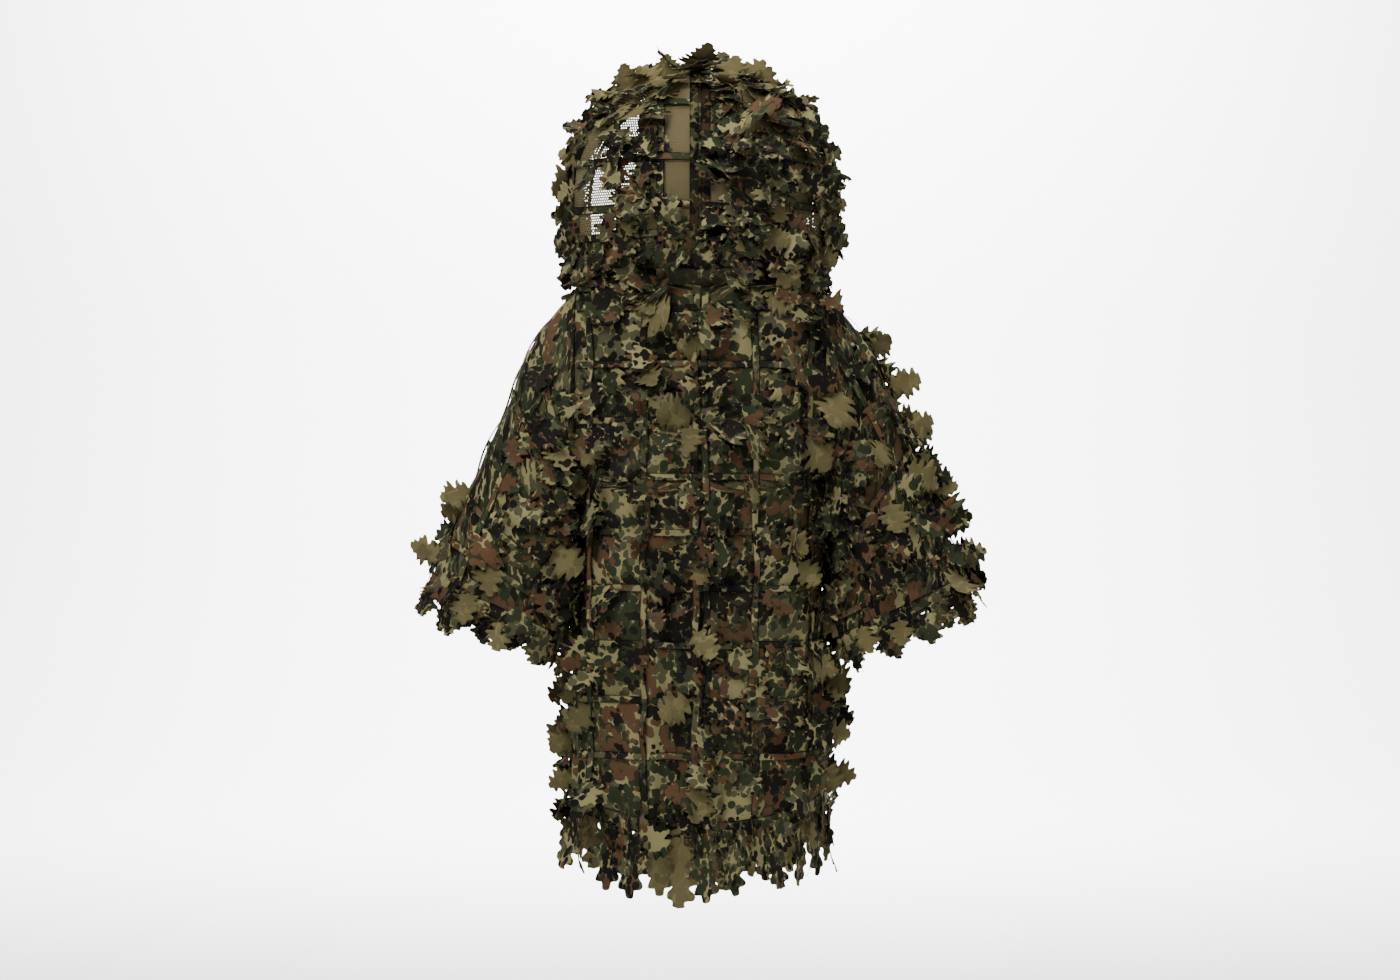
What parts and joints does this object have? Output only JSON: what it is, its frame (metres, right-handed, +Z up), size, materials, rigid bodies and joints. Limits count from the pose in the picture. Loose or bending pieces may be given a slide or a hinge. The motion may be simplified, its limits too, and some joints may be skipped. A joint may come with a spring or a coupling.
{
  "type": "ghillie suit",
  "caption": "Hooded leaf-camouflage coat with wide sleeves, netting hood, foliage tape grid, cloth leaves and a front zip.",
  "frame": {"origin": "on the centre line inside the neck, level with the hood's lower edge, where the coat rests on the shoulders", "axes": "+Z up towards the hood, -Y the way the wearer faces, +X the wearer's left"},
  "size_m": [0.9404, 0.3477, 1.4039],
  "materials": {
    "camo_cloth": "matt woven camouflage cloth",
    "camo_tape": "matt woven camouflage tape",
    "leaf_cloth": "matt laser-cut cloth leaves",
    "netting": "open knitted netting",
    "piping": "dark bound edge",
    "webbing": "woven webbing",
    "zip_cloth": "woven zip tape",
    "zip_plastic": "moulded coil",
    "zip_metal": "dull painted zinc"
  },
  "bodies": {
    "coat": {"back_column_tape_left": "camo_tape", "back_column_tape_right": "camo_tape", "back_leaves_left": "leaf_cloth", "back_leaves_right": "leaf_cloth", "back_panel_left": "camo_cloth", "back_panel_right": "camo_cloth", "back_row_tapes": "camo_tape", "centre_back_tapes": "camo_tape", "front_column_tape_left": "camo_tape", "front_column_tape_right": "camo_tape", "front_leaves_left": "leaf_cloth", "front_leaves_right": "leaf_cloth", "front_panel_left": "camo_cloth", "front_panel_right": "camo_cloth", "front_row_tapes_left": "camo_tape", "front_row_tapes_right": "camo_tape", "hanger_loop": "webbing", "hem_band": "camo_tape", "hem_leaf_fringe": "leaf_cloth", "hood_join_tape": "camo_tape", "neck_band": "camo_tape", "shoulder_yoke_back_left": "camo_cloth", "shoulder_yoke_back_right": "camo_cloth", "shoulder_yoke_front_left": "camo_cloth", "shoulder_yoke_front_right": "camo_cloth", "side_leaves_left": "leaf_cloth", "side_leaves_right": "leaf_cloth", "zip_coils": "zip_plastic", "zip_stops": "zip_plastic", "zip_tape_left": "zip_cloth", "zip_tape_right": "zip_cloth"},
    "hood": {"hood_centre_tape": "camo_tape", "hood_column_tapes_left": "camo_tape", "hood_column_tapes_right": "camo_tape", "hood_crown": "netting", "hood_leaves_left": "leaf_cloth", "hood_leaves_right": "leaf_cloth", "hood_mesh_left": "netting", "hood_mesh_right": "netting", "hood_rim_band": "camo_tape", "hood_rim_leaves": "leaf_cloth", "hood_rim_piping": "piping", "hood_row_tapes": "camo_tape", "hood_skirt_left": "camo_cloth", "hood_skirt_right": "camo_cloth"},
    "sleeve_left": {"sleeve_back_panel_left": "camo_cloth", "sleeve_cuff_band_left": "camo_tape", "sleeve_cuff_fringe_left": "leaf_cloth", "sleeve_front_panel_left": "camo_cloth", "sleeve_leaves_left": "leaf_cloth", "sleeve_row_tapes_left": "camo_tape"},
    "sleeve_right": {"sleeve_back_panel_right": "camo_cloth", "sleeve_cuff_band_right": "camo_tape", "sleeve_cuff_fringe_right": "leaf_cloth", "sleeve_front_panel_right": "camo_cloth", "sleeve_leaves_right": "leaf_cloth", "sleeve_row_tapes_right": "camo_tape"},
    "slider": {"zip_slider": "zip_metal"},
    "pull": {"zip_pull": "zip_metal"}
  },
  "joints": [
    {"name": "hood_fold", "type": "hinge", "parent": "coat", "child": "hood", "pos_m": [0, 0.17, 0.008], "axis": [-1, 0, 0], "range_deg": [0, 140]},
    {"name": "sleeve_lift_left", "type": "hinge", "parent": "coat", "child": "sleeve_left", "pos_m": [0.204, 0, -0.018], "axis": [0, -1, 0], "range_deg": [0, 60]},
    {"name": "sleeve_lift_right", "type": "hinge", "parent": "coat", "child": "sleeve_right", "pos_m": [-0.204, 0, -0.018], "axis": [0, 1, 0], "range_deg": [0, 60]},
    {"name": "zip_slide", "type": "slide", "parent": "coat", "child": "slider", "axis": [0, 0, -1], "range_m": [0, 0.79]},
    {"name": "zip_pull_swing", "type": "hinge", "parent": "slider", "child": "pull", "pos_m": [0, -0.1526, -0.07], "axis": [-1, 0, 0], "range_deg": [0, 160]}
  ]
}
